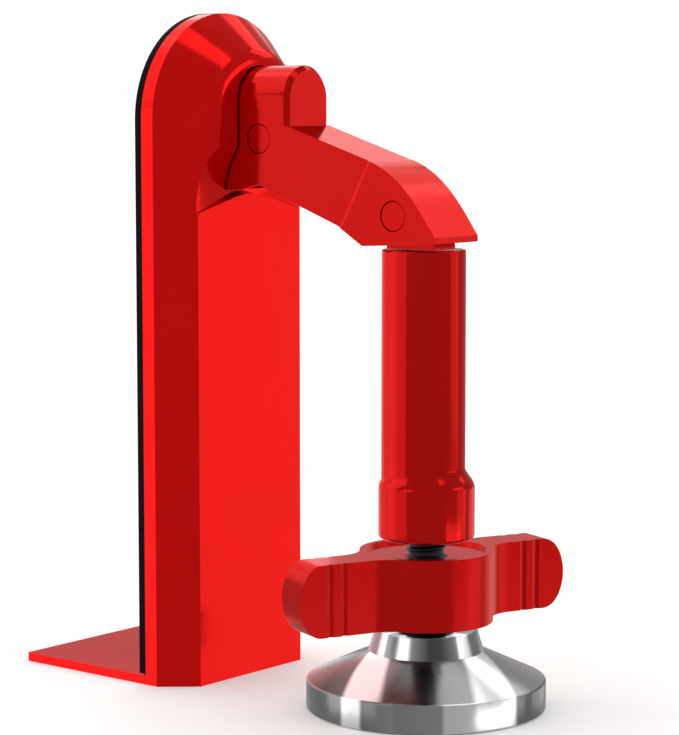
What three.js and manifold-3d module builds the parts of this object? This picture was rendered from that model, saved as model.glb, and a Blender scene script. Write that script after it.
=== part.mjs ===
// A folding brace that hooks under the edge of a panel and stands on the floor.
// A cast body with a hooked lip carries an arm, a leg, a wing screw and a round tilting foot.

import * as THREE from 'three';
import { mergeVertices } from 'three/addons/utils/BufferGeometryUtils.js';
import Module from 'manifold-3d';

const wasm = await Module();
wasm.setup();

// Everything is in millimetres. X runs across the body, +Y runs back through the pad,
// and Z rises from the floor, with the origin under the lip at the back face of the pad.

// Clearance between pieces, and how far a cutting shape runs past what it cuts
const fitGap = 0.3;
const cutOverrun = 2;

// Steps round a full turn
const fineSteps = 60;
const roundSteps = 24;
const smallSteps = 16;
const hexSteps = 6;

// Body casting, rubber pad and lip
const bodyWidth = 50.4;
const archCentreHeight = 134;
const padThickness = 2.1;
const edgeStripDepth = 3.65;
const bevelWidth = 6.8;
const bevelDepth = 7.9;
const headStandOut = 3.35;
const headEdgeChamfer = 0.5;
const lipThickness = 2.2;
const lipReach = 38;
const lipGrooveDepth = 0.4;
const lipGrooveReach = 0.5;

// Hollow below the head: where its foot stands under the arch centre, at the sides and in the
// middle, where it ends, and its curve
const scoopFootBelow = 22.4;
const scoopPeakBelow = 17.4;
const scoopPeakHalf = 3;
const scoopEndBelow = 6;
const scoopShares = [
  [0, 0],
  [0.09, -0.045],
  [0.56, 0.13],
  [0.79, 0.31],
  [0.94, 0.85],
  [1, 1],
];

// Pocket in the back of the casting, its cover and the cover's screws
const frontWall = 2.65;
const pocketSideWall = 8;
const pocketFloorWall = 9;
const coverLedge = 3;
const coverThickness = 2;
const bossRadius = 3.6;
const bossInset = 3.7;
const bossLowAbove = 5;
const bossHighBelow = 34;
const coverScrew = { head: 3.1, headHeight: 1.5, shank: 1.6, length: 7.4, socket: 1.3, socketDepth: 0.9 };

// Hinge bracket behind the head, with the tongue that carries the arm
const flangeSideGap = 6.2;
const flangeThickness = 3.9;
const flangeTopGap = 1.2;
const flangeBelow = 28;
const tongueWidth = 6.2;
const tongueRadius = 6.2;
const bracketScrewAbove = 7.5;
const bracketScrewBelow = 23.5;
const bracketScrew = { head: 3.7, headHeight: 1.6, shank: 2, length: 5.2, socket: 1.6, socketDepth: 1 };

// Arm: pins, swing and the stop tab above the upper pin
const armPinAhead = 6;
const armPinBelow = 4.3;
const armSwing = THREE.MathUtils.degToRad(7.5);
const swingSpare = THREE.MathUtils.degToRad(1);
const armWidth = 15.4;
const armPinRadius = 3.25;
const pinRecess = 0.4;
const tabFrontAhead = 8.85;
const tabTopAbove = 17;
const tabChamfer = 1.1;
const shelfAbove = 3;
const rootBelow = 11.8;
const notchAhead = 0.4;
const notchBelow = 10.5;
const notchRun = 0.6;
const slotSideGap = 0.5;
const slotTopGap = 0.2;
const slotFootGap = 0.9;
const slotLead = 1;

// Arm: elbow at the lower pin
const elbowReach = 40.1;
const elbowDrop = 16.8;
const elbowWidth = 16.2;
const elbowPinRadius = 3.2;
const noseAhead = 11.8;
const noseBelow = 4.5;
const noseLip = 1.4;
const elbowFloorBelow = 7;
const elbowBackBehind = 8.8;
const creaseFootBehind = 15.6;
const creaseFootBelow = 2.9;
const bendStartShares = [0.559, 0.309];
const bendFirstShares = [0.79, 0.43];
const bendLastShares = [0.903, 0.77];

// Thrust washers on the two pins
const washerThickness = 0.6;
const armWasherRadius = 5.6;
const elbowWasherRadius = 4.8;

// Leg: tongue in the elbow, tapered shaft, shoulder and collar
const legTongueWidth = 7.8;
const legTongueRadius = 4.9;
const legTongueAhead = 8.6;
const legTongueFootBelow = 6.6;
const rockRoom = 0.9;
const legAxisAhead = 3.7;
const legTopBelow = 7.6;
const legTopRadius = 9.55;
const legFootRadius = 9.6;
const legShaftBehind = 1;
const collarRadius = 11;
const collarHeight = 12.5;
const shoulderHeight = 2.7;
const legEdgeRound = 0.5;
const collarEdgeRound = 1;

// Screw: spindle, threaded insert, stop ring and their travel
const spindleRadius = 4.7;
const threadDepth = 0.6;
const threadPitch = 2;
const spindleNeckRadius = 3.4;
const neckLength = 2.9;
const neckTaper = 1.3;
const ballRadius = 5.5;
const travelUp = 3;
const travelDown = 20;
const insertRadius = 7;
const insertLength = 18;
const insertRecess = 0.5;
const stopRingRadius = 6.6;
const stopRingThickness = 3;
const journalRadius = 3.9;
const boreSpare = 7;

// Wing knob
const hubRadius = 15.3;
const hubHeight = 16.4;
const hubRecessRadius = 13.8;
const hubRecessDepth = 1.6;
const wingHalfSpan = 36.1;
const wingThickness = 9;
const wingOffset = 2.5;
const wingFillet = 6;
const wingTurn = THREE.MathUtils.degToRad(-22.4);
const grooveRadius = 0.8;
const grooveDepth = 0.5;
const groovePlaces = [25, 28.5];
const crossPinRadius = 1.5;
const crossPinFarReach = 10;

// Heights up the foot, from the floor
const soleThickness = 1;
const soleRadius = 26.5;
const rimHeight = 6;
const rimRadius = 27.5;
const rimEdge = 0.5;
const coneHeight = 6.5;
const coneTopRadius = 13.2;
const footNeckHeight = 5;
const footNeckRadius = 11.8;
const footTopGap = 1.9;
const collarGap = 2.6;
const ballHeight = 9;

// Ball seat, retaining plate and washer
const seatWall = 2;
const seatAbove = 3.8;
const seatBelow = 4.2;
const footHoleSpare = 1.3;
const plateRadius = 14;
const plateScrewCircle = 11;
const plateScrewCount = 3;
const plateScrew = { head: 2.4, headHeight: 1.1, shank: 1.3, length: 5.5, socket: 1, socketDepth: 0.7 };
const thrustWasherRadius = 6.5;
const thrustWasherThickness = 0.7;

// Places worked out from the sizes above
const bodyHalf = bodyWidth / 2;
const castingBackY = -padThickness;
const stripFrontY = castingBackY - edgeStripDepth;
const flatY = stripFrontY - bevelDepth;
const headY = flatY - headStandOut;
const bevelSlope = bevelWidth / bevelDepth;
const headHalf = bodyHalf - bevelWidth - headStandOut * bevelSlope;
const pocketHalf = bodyHalf - pocketSideWall;
const pocketFloorY = flatY + frontWall;
const coverFrontY = castingBackY - coverThickness;
const coverHalf = pocketHalf + coverLedge;
const flangeFrontY = coverFrontY - flangeThickness;
const flangeHalf = pocketHalf - flangeSideGap;
const flangeAbove = Math.sqrt(pocketHalf * pocketHalf - flangeHalf * flangeHalf) - flangeTopGap;
const armPinY = headY - armPinAhead;
const armPinZ = archCentreHeight - armPinBelow;
const armHalf = armWidth / 2;
const armRearBehind = flangeFrontY - armPinY - fitGap;
const tongueHalf = tongueWidth / 2;
const armForkHalf = tongueHalf + washerThickness + 2 * fitGap;
const legTongueHalf = legTongueWidth / 2;
const elbowForkHalf = legTongueHalf + washerThickness + 2 * fitGap;
const elbowY = armPinY - elbowReach;
const elbowZ = armPinZ - elbowDrop;
const legAxisY = elbowY - legAxisAhead;
const footTopHeight = soleThickness + rimHeight + coneHeight + footNeckHeight;
const hubBottomHeight = footTopHeight + footTopGap;
const hubTopHeight = hubBottomHeight + hubHeight;
const collarBottomHeight = hubTopHeight + collarGap;
const plateThickness = ballHeight - ballRadius - soleThickness - fitGap;
const insertTop = collarBottomHeight + insertRecess + insertLength;
const stopRingBottom = insertTop + travelDown + fitGap;
const spindleTop = stopRingBottom + stopRingThickness + fitGap;
const legBoreTop = spindleTop + travelUp + boreSpare;

const xAxis = new THREE.Vector3(1, 0, 0);
const yAxis = new THREE.Vector3(0, 1, 0);
const zAxis = new THREE.Vector3(0, 0, 1);
const forward = new THREE.Vector3(0, -1, 0);
const quarterTurn = Math.PI / 2;

// Solids and meshes

function asSolid(geometry) {
  const bare = new THREE.BufferGeometry();
  bare.setAttribute('position', geometry.getAttribute('position').clone());
  if (geometry.index) bare.setIndex(geometry.index.clone());
  const merged = mergeVertices(bare);
  const corners = merged.index.array;
  const triangles = [];
  for (let i = 0; i < corners.length; i += 3) {
    const [a, b, c] = corners.slice(i, i + 3);
    if (a !== b && b !== c && c !== a) triangles.push(a, b, c);
  }
  const vertProperties = merged.getAttribute('position').array;
  const triVerts = Uint32Array.from(triangles);
  return new wasm.Manifold(new wasm.Mesh({ numProp: 3, vertProperties, triVerts }));
}

function asGeometry(solid) {
  const mesh = solid.getMesh();
  const geometry = new THREE.BufferGeometry();
  const points = Float32Array.from(mesh.vertProperties);
  geometry.setAttribute('position', new THREE.BufferAttribute(points, 3));
  geometry.setIndex(new THREE.BufferAttribute(Uint32Array.from(mesh.triVerts), 1));
  geometry.computeVertexNormals();
  return geometry;
}

function extruded(shape, depth, steps = roundSteps) {
  return new THREE.ExtrudeGeometry(shape, { depth, bevelEnabled: false, curveSegments: steps });
}

// A shape drawn in Y and Z, run across X to both sides of the middle
function acrossX(shape, half, steps) {
  const geometry = extruded(shape, 2 * half, steps);
  geometry.applyMatrix4(new THREE.Matrix4().makeBasis(yAxis, zAxis, xAxis));
  geometry.translate(-half, 0, 0);
  return asSolid(geometry);
}

// A shape drawn in X and Z, run forward from one Y to another
function alongY(shape, rearY, frontY, steps) {
  const geometry = extruded(shape, rearY - frontY, steps);
  geometry.applyMatrix4(new THREE.Matrix4().makeBasis(xAxis, zAxis, forward));
  geometry.translate(0, rearY, 0);
  return asSolid(geometry);
}

// A profile of radius and height, turned about Z
function turned(profile, steps = roundSteps) {
  const points = profile.map(([radius, height]) => new THREE.Vector2(radius, height));
  const geometry = new THREE.LatheGeometry(points, steps);
  geometry.rotateX(quarterTurn);
  return geometry;
}

function tube(outer, inner, bottom, top, steps) {
  return turned([[inner, bottom], [outer, bottom], [outer, top], [inner, top], [inner, bottom]], steps);
}

function rod(radius, bottom, top, steps) {
  return turned([[0, bottom], [radius, bottom], [radius, top], [0, top]], steps);
}

// A rod along X through a point in Y and Z
function pinAcross(radius, half, y, z, steps) {
  const geometry = rod(radius, -half, half, steps);
  geometry.rotateY(quarterTurn);
  geometry.translate(0, y, z);
  return asSolid(geometry);
}

function block(x0, x1, y0, y1, z0, z1) {
  const geometry = new THREE.BoxGeometry(x1 - x0, y1 - y0, z1 - z0);
  geometry.translate((x0 + x1) / 2, (y0 + y1) / 2, (z0 + z1) / 2);
  return asSolid(geometry);
}

function shapeOf(points) {
  return new THREE.Shape(points.map(([u, v]) => new THREE.Vector2(u, v)));
}

// Points of an arch: straight sides up to the centre height, and a half circle over it
function archPoints(half, bottom, centre, steps = fineSteps) {
  const points = [[-half, bottom], [half, bottom]];
  const halfSteps = steps / 2;
  for (let i = 0; i <= halfSteps; i += 1) {
    const angle = (Math.PI * i) / halfSteps;
    points.push([half * Math.cos(angle), centre + half * Math.sin(angle)]);
  }
  return points;
}

// Skin through outlines of equal point count in X and Z, listed from front to back as { y, points }
function loftGeometry(stations) {
  const count = stations[0].points.length;
  const positions = stations.flatMap(({ y, points }) => points.flatMap(([x, z]) => [x, y, z]));
  const index = [];
  for (let s = 0; s + 1 < stations.length; s += 1) {
    for (let i = 0; i < count; i += 1) {
      const next = (i + 1) % count;
      const front = s * count;
      const back = front + count;
      index.push(front + i, back + next, front + next);
      index.push(front + i, back + i, back + next);
    }
  }
  const last = (stations.length - 1) * count;
  for (let i = 1; i + 1 < count; i += 1) {
    index.push(0, i, i + 1);
    index.push(last, last + i + 1, last + i);
  }
  const geometry = new THREE.BufferGeometry();
  geometry.setAttribute('position', new THREE.Float32BufferAttribute(positions, 3));
  geometry.setIndex(index);
  return geometry;
}

function loftBack(stations) {
  return asSolid(loftGeometry(stations));
}

// Skin through outlines in Y and Z, listed from right to left as { y, points } with y for minus X
function loftAcross(stations) {
  const geometry = loftGeometry(stations);
  geometry.rotateZ(quarterTurn);
  return asSolid(geometry);
}

// A countersunk screw with its head at the origin, pointing up Z; grown for the hole that takes it
function screwGeometry(screw, grow = 0) {
  const shank = screw.shank + grow;
  const head = screw.head + grow;
  const start = grow > 0 ? -cutOverrun : 0;
  return turned([
    [0, start],
    [head, start],
    [head, grow],
    [shank, screw.headHeight + grow],
    [shank, screw.length + grow],
    [0, screw.length + grow],
  ], smallSteps);
}

function socketScrew(screw) {
  const socket = asSolid(rod(screw.socket, -cutOverrun, screw.socketDepth, hexSteps));
  return asGeometry(asSolid(screwGeometry(screw)).subtract(socket));
}

// A screw hole that runs forward from the back of the cover
function backScrewHole(screw, x, z) {
  const geometry = screwGeometry(screw, fitGap);
  geometry.rotateX(quarterTurn);
  geometry.translate(x, castingBackY - fitGap, z);
  return asSolid(geometry);
}

// Finishes
const red = new THREE.MeshStandardMaterial({ color: 0xd8231b, roughness: 0.3, metalness: 0.1 });
const rubber = new THREE.MeshStandardMaterial({ color: 0x101010, roughness: 0.9, metalness: 0 });
const steel = new THREE.MeshStandardMaterial({ color: 0x9a9a9a, roughness: 0.35, metalness: 1 });
const darkSteel = new THREE.MeshStandardMaterial({ color: 0x3c3c3e, roughness: 0.4, metalness: 1 });
const chrome = new THREE.MeshStandardMaterial({ color: 0xe6e6e6, roughness: 0.08, metalness: 1 });
const brass = new THREE.MeshStandardMaterial({ color: 0xb08a3c, roughness: 0.35, metalness: 1 });
const nylon = new THREE.MeshStandardMaterial({ color: 0xe4e0d4, roughness: 0.6, metalness: 0 });

function namedMesh(name, geometry, material, x = 0, y = 0, z = 0) {
  const mesh = new THREE.Mesh(geometry, material);
  mesh.name = name;
  mesh.position.set(x, y, z);
  return mesh;
}

function groupAt(y, z) {
  const group = new THREE.Group();
  group.position.set(0, y, z);
  return group;
}

// Places of the four cover screws, as X and Z
function coverScrewPlaces() {
  const x = pocketHalf - bossInset;
  const low = pocketFloorWall + bossLowAbove;
  const high = archCentreHeight - bossHighBelow;
  return [[-x, low], [x, low], [-x, high], [x, high]];
}

function bracketScrewPlaces() {
  return [[0, archCentreHeight - bracketScrewBelow], [0, archCentreHeight + bracketScrewAbove]];
}

// What is taken off the front of the casting: the flat, and the hollow that rises from its
// gabled top edge to the head
function frontCut() {
  const half = bodyHalf + cutOverrun;
  const flatHalf = bodyHalf - bevelWidth;
  const slope = (scoopFootBelow - scoopPeakBelow) / (flatHalf - scoopPeakHalf / 2);
  const end = archCentreHeight - scoopEndBelow;
  const front = headY - cutOverrun;
  const outline = (x) => {
    const drop = slope * Math.max(Math.abs(x) - scoopPeakHalf / 2, 0);
    const foot = archCentreHeight - scoopPeakBelow - drop;
    const rise = scoopShares.map(([up, out]) => [flatY - out * headStandOut, foot + up * (end - foot)]);
    return [[flatY, -cutOverrun], ...rise, [front, end], [front, -cutOverrun]];
  };
  const places = [-half, -scoopPeakHalf, 0, scoopPeakHalf, half];
  return loftAcross(places.map((x) => ({ y: x, points: outline(x) })));
}

// Body casting: bevelled arch with a raised head, a hooked lip, a slot and a pocket in its back
function bodyCasting() {
  const arch = (half) => archPoints(half, 0, archCentreHeight);
  const shell = loftBack([
    { y: headY, points: arch(headHalf - headEdgeChamfer) },
    { y: headY + headEdgeChamfer, points: arch(headHalf + headEdgeChamfer * bevelSlope) },
    { y: stripFrontY, points: arch(bodyHalf) },
    { y: castingBackY, points: arch(bodyHalf) },
  ]);
  const lip = block(-bodyHalf, bodyHalf, stripFrontY, lipReach, 0, lipThickness);
  const grooveHalf = bodyHalf + cutOverrun;
  const grooveFoot = lipThickness - lipGrooveDepth;
  const grooveTop = lipThickness + fitGap;
  const groove = block(-grooveHalf, grooveHalf, castingBackY, lipGrooveReach, grooveFoot, grooveTop);

  const recessHalf = coverHalf + fitGap;
  const recessBottom = pocketFloorWall - coverLedge - fitGap;
  const recess = shapeOf(archPoints(recessHalf, recessBottom, archCentreHeight));
  const recessCut = alongY(recess, castingBackY + cutOverrun, coverFrontY);
  const pocket = shapeOf(archPoints(pocketHalf, pocketFloorWall, archCentreHeight));
  const pocketCut = alongY(pocket, coverFrontY + cutOverrun, pocketFloorY);

  let casting = shell.add(lip).subtract(groove).subtract(frontCut());
  casting = casting.subtract(recessCut).subtract(pocketCut);
  for (const [x, z] of coverScrewPlaces()) {
    const boss = rod(bossRadius, 0, coverFrontY - pocketFloorY + frontWall / 2, roundSteps);
    boss.rotateX(quarterTurn);
    boss.translate(x, coverFrontY, z);
    casting = casting.add(asSolid(boss)).subtract(backScrewHole(coverScrew, x, z));
  }

  const slotHalf = armHalf + slotSideGap;
  const slotTop = armPinZ + tabTopAbove + slotTopGap;
  const slotFoot = armPinZ - rootBelow - slotFootGap;
  const slot = shapeOf(archPoints(slotHalf, slotFoot, slotTop - slotHalf));
  return casting.subtract(alongY(slot, pocketFloorY + cutOverrun, headY - cutOverrun));
}

// Flat cover that closes the pocket
function backCover() {
  const outline = shapeOf(archPoints(coverHalf, pocketFloorWall - coverLedge, archCentreHeight));
  let cover = alongY(outline, castingBackY, coverFrontY);
  for (const [x, z] of coverScrewPlaces()) cover = cover.subtract(backScrewHole(coverScrew, x, z));
  for (const [x, z] of bracketScrewPlaces()) cover = cover.subtract(backScrewHole(bracketScrew, x, z));
  return cover;
}

function backPad() {
  const outline = shapeOf(archPoints(bodyHalf, lipThickness + fitGap, archCentreHeight));
  return alongY(outline, 0, castingBackY);
}

// Hinge bracket: a flange screwed to the cover and a round-ended tongue out through the slot
function hingeBracket() {
  const foot = archCentreHeight - flangeBelow;
  const top = archCentreHeight + flangeAbove;
  const flange = block(-flangeHalf, flangeHalf, flangeFrontY, coverFrontY, foot, top);
  const tongueShape = new THREE.Shape();
  tongueShape.moveTo(flangeFrontY + flangeThickness / 2, armPinZ - tongueRadius);
  tongueShape.lineTo(flangeFrontY + flangeThickness / 2, armPinZ + tongueRadius);
  tongueShape.lineTo(armPinY, armPinZ + tongueRadius);
  tongueShape.absarc(armPinY, armPinZ, tongueRadius, quarterTurn, 3 * quarterTurn, false);
  const tongue = acrossX(tongueShape, tongueHalf, smallSteps);
  let bracket = flange.add(tongue);
  bracket = bracket.subtract(pinAcross(armPinRadius + fitGap, armWidth, armPinY, armPinZ));
  for (const [x, z] of bracketScrewPlaces()) bracket = bracket.subtract(backScrewHole(bracketScrew, x, z));
  return bracket;
}

function addBody(group) {
  group.add(namedMesh('body_casting', asGeometry(bodyCasting()), red));
  group.add(namedMesh('back_cover', asGeometry(backCover()), steel));
  group.add(namedMesh('back_pad', asGeometry(backPad()), rubber));
  group.add(namedMesh('hinge_bracket', asGeometry(hingeBracket()), steel));
  addBackScrews(group, 'cover_screw', coverScrew, coverScrewPlaces());
  addBackScrews(group, 'bracket_screw', bracketScrew, bracketScrewPlaces());
}

function addBackScrews(group, name, screw, places) {
  places.forEach(([x, z], i) => {
    const mesh = namedMesh(`${name}_${i + 1}`, socketScrew(screw), steel, x, castingBackY - fitGap, z);
    mesh.rotation.x = quarterTurn;
    group.add(mesh);
  });
}

// The arm is drawn about its upper pin, in Y and Z.

// The curve over the elbow: from the start of the bend to the nose, and down the front lip
function drawElbowFront(shape) {
  const noseY = -elbowReach - noseAhead;
  const noseZ = -elbowDrop - noseBelow;
  const reach = noseY + tabFrontAhead;
  const drop = noseZ - shelfAbove;
  const at = ([along, down]) => [-tabFrontAhead + along * reach, shelfAbove + down * drop];
  shape.lineTo(...at(bendStartShares));
  shape.bezierCurveTo(...at(bendFirstShares), ...at(bendLastShares), noseY, noseZ);
  shape.lineTo(noseY, noseZ - noseLip);
  shape.lineTo(-elbowReach + elbowBackBehind, -elbowDrop - elbowFloorBelow);
  shape.lineTo(-elbowReach + creaseFootBehind, -elbowDrop - creaseFootBelow);
}

function armOutline() {
  const relief = rootBelow * Math.tan(armSwing + swingSpare);
  const shape = new THREE.Shape();
  shape.moveTo(-tabFrontAhead, shelfAbove);
  drawElbowFront(shape);
  shape.lineTo(-notchAhead - notchRun, -notchBelow - notchRun);
  shape.lineTo(-notchAhead, -notchBelow);
  shape.lineTo(armPinAhead, -rootBelow);
  shape.lineTo(armRearBehind - relief, -rootBelow);
  shape.lineTo(armRearBehind, 0);
  shape.lineTo(armRearBehind, shelfAbove);
  return shape;
}

function elbowOutline() {
  const shape = new THREE.Shape();
  const [along, down] = bendStartShares;
  const reach = -elbowReach - noseAhead + tabFrontAhead;
  const drop = -elbowDrop - noseBelow - shelfAbove;
  shape.moveTo(-tabFrontAhead + along * reach, shelfAbove + down * drop);
  drawElbowFront(shape);
  return shape;
}

// The stop tab: a round-topped bar, eased down where it enters the slot so that it can swing
function stopTab() {
  const sink = shelfAbove / 2;
  const easedDrop = (y) => {
    const limit = (tabTopAbove + slotTopGap - fitGap - y * Math.sin(armSwing)) / Math.cos(armSwing);
    return Math.max(0, tabTopAbove - limit);
  };
  const section = (half, drop) => archPoints(half, sink, tabTopAbove - armHalf - drop);
  const easeEnd = (armPinAhead + tabTopAbove * Math.sin(armSwing)) / Math.cos(armSwing);
  return loftBack([
    { y: -tabFrontAhead, points: section(armHalf - tabChamfer, 0) },
    { y: tabChamfer - tabFrontAhead, points: section(armHalf, 0) },
    { y: armPinAhead - slotLead, points: section(armHalf, 0) },
    { y: easeEnd, points: section(armHalf, easedDrop(easeEnd)) },
    { y: armRearBehind, points: section(armHalf, easedDrop(armRearBehind)) },
  ]);
}

// The outline of the leg's tongue about the elbow pin, grown for the channel that it rocks in
function legTongueShape(roundGrow, footGrow, foot) {
  const radius = legTongueRadius + roundGrow;
  const front = -legTongueAhead - footGrow;
  const frontTop = -legTongueFootBelow + footGrow;
  const away = Math.hypot(front, frontTop);
  const tangent = Math.atan2(frontTop, front) + 2 * Math.PI - Math.acos(radius / away);
  const rear = legTongueRadius + footGrow;
  const shape = new THREE.Shape();
  shape.moveTo(rear, foot);
  shape.lineTo(rear, -legTongueRadius / 2);
  shape.absarc(0, 0, radius, 0, tangent, false);
  shape.lineTo(front, frontTop);
  shape.lineTo(front, foot);
  return shape;
}

function armBody() {
  let arm = acrossX(armOutline(), armHalf).add(acrossX(elbowOutline(), elbowWidth / 2)).add(stopTab());
  const rear = armRearBehind + cutOverrun;
  const ceiling = tongueRadius + fitGap;
  const forkShape = new THREE.Shape();
  forkShape.moveTo(0, -rootBelow - cutOverrun);
  forkShape.lineTo(rear, -rootBelow - cutOverrun);
  forkShape.lineTo(rear, ceiling);
  forkShape.lineTo(0, ceiling);
  const fork = acrossX(forkShape, armForkHalf).add(pinAcross(ceiling, armForkHalf, 0, 0));
  const channelFoot = -elbowFloorBelow - cutOverrun;
  const channelShape = legTongueShape(fitGap, rockRoom, channelFoot);
  const channel = acrossX(channelShape, elbowForkHalf, smallSteps).translate([0, -elbowReach, -elbowDrop]);
  arm = arm.subtract(fork).subtract(channel);
  arm = arm.subtract(pinAcross(armPinRadius + fitGap, armWidth, 0, 0));
  return arm.subtract(pinAcross(elbowPinRadius + fitGap, elbowWidth, -elbowReach, -elbowDrop));
}

// A plain hinge pin that lies along X
function hingePin(radius, half) {
  const pin = rod(radius, -half, half);
  pin.rotateY(quarterTurn);
  return pin;
}

function addWashers(group, name, radius, pinRadius, inner) {
  const sides = { left: -1, right: 1 };
  for (const [side, sign] of Object.entries(sides)) {
    const washer = tube(radius, pinRadius + fitGap, -washerThickness / 2, washerThickness / 2);
    washer.rotateY(quarterTurn);
    const x = sign * (inner + fitGap + washerThickness / 2);
    group.add(namedMesh(`${name}_${side}`, washer, nylon, x));
  }
}

function addArm(group) {
  group.add(namedMesh('arm', asGeometry(armBody()), red));
  group.add(namedMesh('arm_pin', hingePin(armPinRadius, armHalf - pinRecess), darkSteel));
  addWashers(group, 'arm_washer', armWasherRadius, armPinRadius, tongueHalf);
}

// The leg is drawn about the elbow pin. Its collar is on the screw's axis, ahead of the pin, and
// its round shaft stands a little behind that axis.
function legBody() {
  const down = (height) => height - elbowZ;
  const collarBottom = down(collarBottomHeight);
  const collarTop = collarBottom + collarHeight;
  const shoulderTop = collarTop + shoulderHeight;
  const top = -legTopBelow;
  const collar = turned([
    [0, collarBottom],
    [collarRadius - collarEdgeRound, collarBottom],
    [collarRadius, collarBottom + collarEdgeRound],
    [collarRadius, collarTop],
    [legFootRadius - legShaftBehind, shoulderTop],
    [0, shoulderTop],
  ], fineSteps);
  collar.translate(0, -legAxisAhead, 0);
  const shaft = turned([
    [0, collarTop],
    [legFootRadius, collarTop],
    [legTopRadius, top - legEdgeRound],
    [legTopRadius - legEdgeRound, top],
    [0, top],
  ], fineSteps);
  shaft.translate(0, legShaftBehind - legAxisAhead, 0);
  const tongueFoot = top - legTopRadius / 2;
  const tongue = acrossX(legTongueShape(0, 0, tongueFoot), legTongueHalf, smallSteps);
  const bore = rod(insertRadius + fitGap, collarBottom - cutOverrun, down(legBoreTop));
  bore.translate(0, -legAxisAhead, 0);
  const pinHole = pinAcross(elbowPinRadius + fitGap, elbowWidth, 0, 0);
  return asSolid(shaft).add(asSolid(collar)).add(tongue).subtract(asSolid(bore)).subtract(pinHole);
}

function addLeg(group) {
  group.add(namedMesh('leg', asGeometry(legBody()), red));
  group.add(namedMesh('elbow_pin', hingePin(elbowPinRadius, elbowWidth / 2 - pinRecess), darkSteel));
  addWashers(group, 'elbow_washer', elbowWasherRadius, elbowPinRadius, legTongueHalf);
  const insert = tube(insertRadius, spindleRadius + fitGap, insertTop - insertLength, insertTop);
  group.add(namedMesh('threaded_insert', insert, brass, 0, -legAxisAhead, -elbowZ));
}

// The screw and the foot are drawn about the centre of the ball.

function ballArc(radius, from, to, steps) {
  const points = [];
  for (let i = 0; i <= steps; i += 1) {
    const angle = from + ((to - from) * i) / steps;
    points.push([radius * Math.cos(angle), radius * Math.sin(angle)]);
  }
  return points;
}

// Spindle: ball, slim neck, plain shank under the knob, thread and a journal for the stop ring
function spindleGeometry() {
  const neckAngle = Math.acos(spindleNeckRadius / ballRadius);
  const neckFoot = ballRadius * Math.sin(neckAngle);
  const shankFoot = neckFoot + neckLength + neckTaper;
  const threadFoot = hubTopHeight - hubRecessDepth - ballHeight;
  const threadTop = stopRingBottom - ballHeight;
  const turns = Math.round((threadTop - threadFoot) / threadPitch);
  const pitch = (threadTop - threadFoot) / turns;
  const profile = ballArc(ballRadius, -quarterTurn, neckAngle, smallSteps / 2);
  profile[0][0] = 0;
  profile.push([spindleNeckRadius, neckFoot + neckLength], [spindleRadius, shankFoot]);
  for (let i = 0; i < turns; i += 1) {
    profile.push([spindleRadius, threadFoot + i * pitch]);
    profile.push([spindleRadius - threadDepth, threadFoot + i * pitch + pitch / 2]);
  }
  profile.push([spindleRadius, threadTop], [journalRadius, threadTop]);
  profile.push([journalRadius, spindleTop - ballHeight], [0, spindleTop - ballHeight]);
  return turned(profile, smallSteps);
}

// Plan of the wing knob, along the wings and across them: two offset wings faired into the hub
function knobPlan() {
  const outer = wingOffset + wingThickness / 2;
  const inner = wingThickness / 2 - wingOffset;
  const fairing = (offset) => {
    const y = offset + wingFillet;
    const reach = hubRadius + wingFillet;
    const x = Math.sqrt(reach * reach - y * y);
    return { x, y, angle: Math.atan2(y, x) };
  };
  const near = fairing(outer);
  const far = fairing(inner);
  const shape = new THREE.Shape();
  for (const side of [1, -1]) {
    const turn = side === 1 ? 0 : Math.PI;
    if (side === 1) shape.moveTo(wingHalfSpan, -inner);
    else shape.lineTo(-wingHalfSpan, inner);
    shape.lineTo(side * wingHalfSpan, side * outer);
    const nearEnd = turn + Math.PI + near.angle;
    shape.absarc(side * near.x, side * near.y, wingFillet, turn + 3 * quarterTurn, nearEnd, true);
    shape.absarc(0, 0, hubRadius, turn + near.angle, turn + Math.PI - far.angle, false);
    shape.absarc(-side * far.x, side * far.y, wingFillet, turn - far.angle, turn - quarterTurn, true);
  }
  return shape;
}

function wingKnob() {
  const plan = asSolid(extruded(knobPlan(), hubHeight, smallSteps));
  const endRadius = hubHeight / 2;
  const straight = wingHalfSpan - endRadius;
  const sideShape = new THREE.Shape();
  sideShape.absarc(straight, endRadius, endRadius, -quarterTurn, quarterTurn, false);
  sideShape.absarc(-straight, endRadius, endRadius, quarterTurn, 3 * quarterTurn, false);
  let knob = plan.intersect(alongY(sideShape, hubRadius, -hubRadius, smallSteps));
  const recess = asSolid(rod(hubRecessRadius, hubHeight - hubRecessDepth, hubHeight + cutOverrun));
  const bore = asSolid(rod(spindleRadius + fitGap, -cutOverrun, hubHeight + cutOverrun));
  knob = knob.subtract(recess).subtract(bore);
  for (const along of groovePlaces) {
    for (const wing of [1, -1]) {
      for (const face of [1, -1]) {
        const faceOffset = wing * wingOffset + face * (wingThickness / 2 + grooveRadius - grooveDepth);
        const groove = rod(grooveRadius, -cutOverrun, hubHeight + cutOverrun, smallSteps);
        groove.translate(wing * along, faceOffset, 0);
        knob = knob.subtract(asSolid(groove));
      }
    }
  }
  const pinHole = crossPinRod(crossPinRadius + fitGap, crossPinFarReach + fitGap, hubRadius + cutOverrun);
  return knob.subtract(pinHole);
}

// Cross pin through the hub and the spindle, driven in from the back of the knob
function crossPinRod(radius, farReach, nearReach) {
  const pin = rod(radius, -farReach, nearReach, smallSteps);
  pin.rotateX(-quarterTurn);
  pin.translate(0, 0, hubHeight / 2);
  return asSolid(pin);
}

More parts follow.
